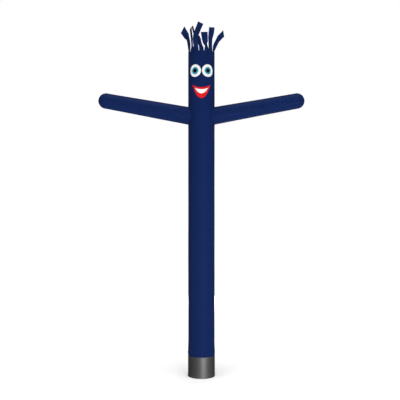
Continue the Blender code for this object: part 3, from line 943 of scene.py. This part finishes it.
def back_seam(across):
    """A row of stitches along the back seam, that far from its middle."""
    height = spaced(CUFF_HEIGHT + 0.004, CROWN_HEIGHT - 0.002, 0.004)
    turn = pi + across / TRUNK_RADIUS
    radius = trunk_radius(turn, height) + BACK_STITCH_LIFT
    return round_trunk(turn, radius, height), round_trunk(np.full(len(height), turn), 1.0, 0.0)


def patch_seam(across, height, layer):
    """A row of stitches along those points of a patch."""
    line = patch_points(across, height, layer, PATCH_PRESS / 2)
    return line, round_trunk(across / TRUNK_RADIUS, 1.0, 0.0 * height)


def disc_seam(disc, side):
    angle = np.linspace(0.0, tau, 361)
    inside = disc.radius - PATCH_SEAM_INSIDE
    across = side * EYE_ACROSS + inside * np.cos(angle)
    return patch_seam(across, EYE_HEIGHT + inside * np.sin(angle), disc.layer)


def smile_seam(smile):
    """A row of stitches a little inside a crescent's edge."""
    steps = np.linspace(-1.0, 1.0, 401)
    foot, top = smile_curves(smile, steps)
    slope = 2 * steps / smile.half_width
    foot = foot + PATCH_SEAM_INSIDE * np.hypot(1.0, smile.sag_foot * slope)
    top = top - PATCH_SEAM_INSIDE * np.hypot(1.0, smile.sag_top * slope)
    inside = foot < top
    across = smile.half_width * steps[inside]
    line_across = np.concatenate([across, across[::-1], across[:1]])
    foot, top = foot[inside], top[inside]
    return patch_seam(line_across, np.concatenate([foot, top[::-1], foot[:1]]), smile.layer)


def add_face_stitches(threads):
    """A row of stitches inside each patch's edge, all those of one colour as one piece."""
    for colour in ("white", "blue", "black", "red"):
        discs = [disc for disc in EYE_DISCS if disc.colour == colour]
        smiles = [smile for smile in (LIPS, TEETH) if smile.colour == colour]
        rows = [disc_seam(disc, side) for disc in discs for side in (-1, 1)]
        rows += [smile_seam(smile) for smile in smiles]
        add_stitches(f"{colour}_stitches", rows, threads[colour])


def set_inputs(node, values):
    for key, value in values.items():
        node.inputs[key].default_value = value


def node_tools(owner):
    """Functions that add a node to a material or the world and that link two of its sockets."""
    nodes = owner.node_tree.nodes

    def add(kind, values=None, **settings):
        node = nodes.new(kind)
        for key, value in settings.items():
            setattr(node, key, value)
        set_inputs(node, values or {})
        return node

    return add, owner.node_tree.links.new


def ranged(add, link, value, limits):
    """A value mapped to another range; both are 0 to 1 unless the limits say more."""
    node = add("ShaderNodeMapRange", limits)
    link(value, node.inputs["Value"])
    return node.outputs["Result"]


def product(add, link, first, second):
    """Two values multiplied."""
    node = add("ShaderNodeMath", operation="MULTIPLY")
    link(first, node.inputs[0])
    link(second, node.inputs[1])
    return node.outputs[0]


def tinted(add, link, first, second):
    """Two colours multiplied."""
    node = add("ShaderNodeMix", {"Factor": 1.0}, data_type="RGBA", blend_type="MULTIPLY")
    link(first, node.inputs[6])
    link(second, node.inputs[7])
    return node.outputs[2]


def mixed(add, link, factor, first, second):
    """A colour mix; each colour is a value or a socket."""
    mix = add("ShaderNodeMix", data_type="RGBA")
    link(factor, mix.inputs["Factor"])
    for socket, colour in ((mix.inputs[6], first), (mix.inputs[7], second)):
        if isinstance(colour, tuple):
            socket.default_value = (*colour, 1.0)
        else:
            link(colour, socket)
    return mix.outputs[2]


def scaled(colour, share):
    return tuple(channel * share for channel in colour)


def new_material(name):
    material = bpy.data.materials.new(name)
    material.use_nodes = True
    return material, material.node_tree.nodes["Principled BSDF"]


def nylon(name, colour, yarn=1.30, vary=0.07):
    """Thin woven nylon: a fine weave, thicker yarns in squares, and painted highlight on ridges and
    painted shade in troughs.
    """
    material, shader = new_material(name)
    add, link = node_tools(material)
    place = add("ShaderNodeUVMap", uv_map="cloth")
    patches = add("ShaderNodeTexNoise", {"Scale": 2.6, "Detail": 3.0, "Roughness": 0.55})
    link(place.outputs["UV"], patches.inputs["Vector"])
    tint = mixed(add, link, patches.outputs["Fac"], scaled(colour, 1 - vary), scaled(colour, 1 + vary))
    # Painted shade in troughs and painted highlight on ridges, from the relief attribute
    relief = add("ShaderNodeAttribute", attribute_name="relief")
    lit = ranged(add, link, relief.outputs["Fac"], {"From Min": -0.0025, "From Max": 0.0025})
    painted_relief_shading = mixed(add, link, lit, (0.88, 0.88, 0.89), (1.10, 1.10, 1.09))
    square = {"Scale": 0.1 / RIPSTOP_SQUARE, "Brick Width": 0.1, "Row Height": 0.1}
    mortar = {"Mortar Size": 0.008, "Mortar Smooth": 0.6}
    squares = add("ShaderNodeTexBrick", {**square, **mortar}, offset=0.0)
    link(place.outputs["UV"], squares.inputs["Vector"])
    yarns = mixed(add, link, squares.outputs["Fac"], (1.0, 1.0, 1.0), (yarn, yarn, yarn))
    link(tinted(add, link, tinted(add, link, tint, painted_relief_shading), yarns), shader.inputs["Base Color"])
    warp = add("ShaderNodeTexWave", {"Scale": 620.0}, bands_direction="X")
    weft = add("ShaderNodeTexWave", {"Scale": 620.0}, bands_direction="Y")
    for wave in (warp, weft):
        link(place.outputs["UV"], wave.inputs["Vector"])
    fine = add("ShaderNodeBump", {"Strength": 0.25, "Distance": 0.00006})
    link(product(add, link, warp.outputs["Fac"], weft.outputs["Fac"]), fine.inputs["Height"])
    cords = add("ShaderNodeBump", {"Strength": 0.5, "Distance": 0.00018})
    link(squares.outputs["Fac"], cords.inputs["Height"])
    link(fine.outputs["Normal"], cords.inputs["Normal"])
    link(cords.outputs["Normal"], shader.inputs["Normal"])
    rough = ranged(add, link, patches.outputs["Fac"], {"To Min": 0.54, "To Max": 0.66})
    link(rough, shader.inputs["Roughness"])
    sheen_tint = (*[0.5 + channel / 2 for channel in colour], 1.0)
    set_inputs(shader, {"Specular IOR Level": 0.03, "Sheen Weight": 0.02, "Sheen Roughness": 0.45})
    set_inputs(shader, {"Sheen Tint": sheen_tint})
    return material


def coated_cloth(name, colour):
    """The cuff's coated cloth: satin, finely grained, a little dusty and scuffed near its foot."""
    material, shader = new_material(name)
    add, link = node_tools(material)
    place = add("ShaderNodeUVMap", uv_map="cloth")
    grain = add("ShaderNodeTexVoronoi", {"Scale": 900.0})
    clouds = add("ShaderNodeTexNoise", {"Scale": 9.0, "Detail": 5.0, "Roughness": 0.6})
    scuffs = add("ShaderNodeTexNoise", {"Scale": 60.0, "Detail": 6.0, "Roughness": 0.7})
    for texture in (grain, clouds, scuffs):
        link(place.outputs["UV"], texture.inputs["Vector"])
    tint = mixed(add, link, clouds.outputs["Fac"], scaled(colour, 0.88), scaled(colour, 1.12))
    height = add("ShaderNodeSeparateXYZ")
    link(place.outputs["UV"], height.inputs["Vector"])
    limits = {"From Min": 0.05, "From Max": 0.16, "To Min": 0.5, "To Max": 0.0}
    low = ranged(add, link, height.outputs["Y"], limits)
    spots = ranged(add, link, scuffs.outputs["Fac"], {"From Min": 0.35, "From Max": 0.85})
    dusty = mixed(add, link, product(add, link, low, spots), tint, (0.075, 0.072, 0.069))
    link(dusty, shader.inputs["Base Color"])
    rough = ranged(add, link, clouds.outputs["Fac"], {"To Min": 0.50, "To Max": 0.60})
    link(rough, shader.inputs["Roughness"])
    bump = add("ShaderNodeBump", {"Strength": 0.35, "Distance": 0.00010})
    link(grain.outputs["Distance"], bump.inputs["Height"])
    link(bump.outputs["Normal"], shader.inputs["Normal"])
    set_inputs(shader, {"IOR": 1.6, "Specular IOR Level": 1.0})
    set_inputs(shader, {"Coat Weight": 1.0, "Coat Roughness": 0.46, "Coat IOR": 1.6})
    return material


def thread(name, colour):
    """Twisted sewing thread."""
    material, shader = new_material(name)
    add, link = node_tools(material)
    place = add("ShaderNodeTexCoord")
    twist = add("ShaderNodeTexNoise", {"Scale": 900.0, "Detail": 2.0})
    link(place.outputs["Object"], twist.inputs["Vector"])
    tint = mixed(add, link, twist.outputs["Fac"], scaled(colour, 0.8), scaled(colour, 1.2))
    link(tint, shader.inputs["Base Color"])
    set_inputs(shader, {"Roughness": 0.55, "Specular IOR Level": 0.25})
    return material


def add_light(name, kind, place, rotation, energy, **settings):
    data = bpy.data.lights.new(name, kind)
    data.energy = energy
    for key, value in settings.items():
        setattr(data, key, value)
    light = add_object(name, data)
    light.location = place
    light.rotation_euler = rotation
    light.visible_camera = False


def add_studio():
    """A pale floor, a white surround, and soft lights in front, above and behind."""
    bpy.ops.mesh.primitive_plane_add(size=FLOOR_SIZE)
    floor = bpy.context.object
    floor.name = "studio_floor"
    floor.visible_glossy = False
    material, shader = new_material("studio_floor_paint")
    set_inputs(shader, {"Base Color": (0.90, 0.90, 0.90, 1.0), "Roughness": 0.9})
    set_inputs(shader, {"Specular IOR Level": 0.0})
    floor.data.materials.append(material)

    world = bpy.data.worlds.new("studio_world")
    world.use_nodes = True
    bpy.context.scene.world = world
    background = world.node_tree.nodes["Background"]
    set_inputs(background, {"Color": (1.0, 1.0, 1.0, 1.0)})
    add, link = node_tools(world)
    ray = add("ShaderNodeLightPath")
    limits = {"To Min": WORLD_LIGHT, "To Max": 1.0}
    seen = ranged(add, link, ray.outputs["Is Camera Ray"], limits)
    limits = {"To Min": 1.0, "To Max": WORLD_GLOSS}
    glossy = ranged(add, link, ray.outputs["Is Glossy Ray"], limits)
    link(product(add, link, seen, glossy), background.inputs["Strength"])

    add_light("sky_sun", "SUN", (0, -2, 9), (SUN_TILT, 0, 0), SUN_STRENGTH, angle=SUN_WIDTH)
    for row in SOFTBOXES:
        turn = radians(row.turn)
        add_light(
            row.name,
            "AREA",
            (row.away * np.sin(turn), -row.away * np.cos(turn), row.height),
            (radians(90), 0, turn),
            row.watts,
            shape="RECTANGLE",
            size=row.width,
            size_y=row.tall,
        )


def add_camera():
    """The photograph's view: level, from the front, at the middle of the frame's height."""
    data = bpy.data.cameras.new("camera")
    data.sensor_width = CAMERA_SENSOR
    data.lens = CAMERA_LENS
    camera = add_object("camera", data)
    camera.location = CAMERA_PLACE
    camera.rotation_euler = (pi / 2, 0.0, 0.0)
    bpy.context.scene.camera = camera
    bpy.context.scene.view_settings.view_transform = "Standard"


def main():
    add_camera()
    navy = nylon("navy_nylon_cloth", (0.0040, 0.0136, 0.0690))
    finishes = {
        "white": nylon("white_nylon_cloth", (0.80, 0.80, 0.79), yarn=0.90, vary=0.02),
        "blue": nylon("blue_nylon_cloth", (0.038, 0.280, 0.390), yarn=1.15),
        "black": nylon("black_nylon_cloth", (0.004, 0.004, 0.005), yarn=1.40),
        "red": nylon("red_nylon_cloth", (0.560, 0.010, 0.009), yarn=1.12),
    }
    threads = {colour: thread(f"{colour}_thread", shade) for colour, shade in THREAD_COLOURS.items()}

    cuff = add_cuff(coated_cloth("grey_coated_cloth", (0.029, 0.0285, 0.0295)))
    trunk = add_trunk(navy)
    seam = add_back_seam(navy)
    add_arms(navy, threads["navy"])
    add_face(finishes)
    add_hair(navy)

    rows = [ring_seam(trunk_radius(RING_TURNS, height), height) for height in CROWN_ROWS]
    rows += [back_seam(across) for across in BACK_ROWS]
    trunk_stitches = add_stitches("trunk_stitches", rows, threads["navy"])
    rows = [ring_seam(CUFF_FACE + cuff_face(RING_TURNS, height), height) for height in CUFF_ROWS]
    rows += [ring_seam(CUFF_HEM_FACE + CUFF_CLOTH, height) for height in HEM_ROWS]
    cuff_stitches = add_stitches("cuff_stitches", rows, threads["grey"])
    add_face_stitches(threads)

    add_studio()


main()
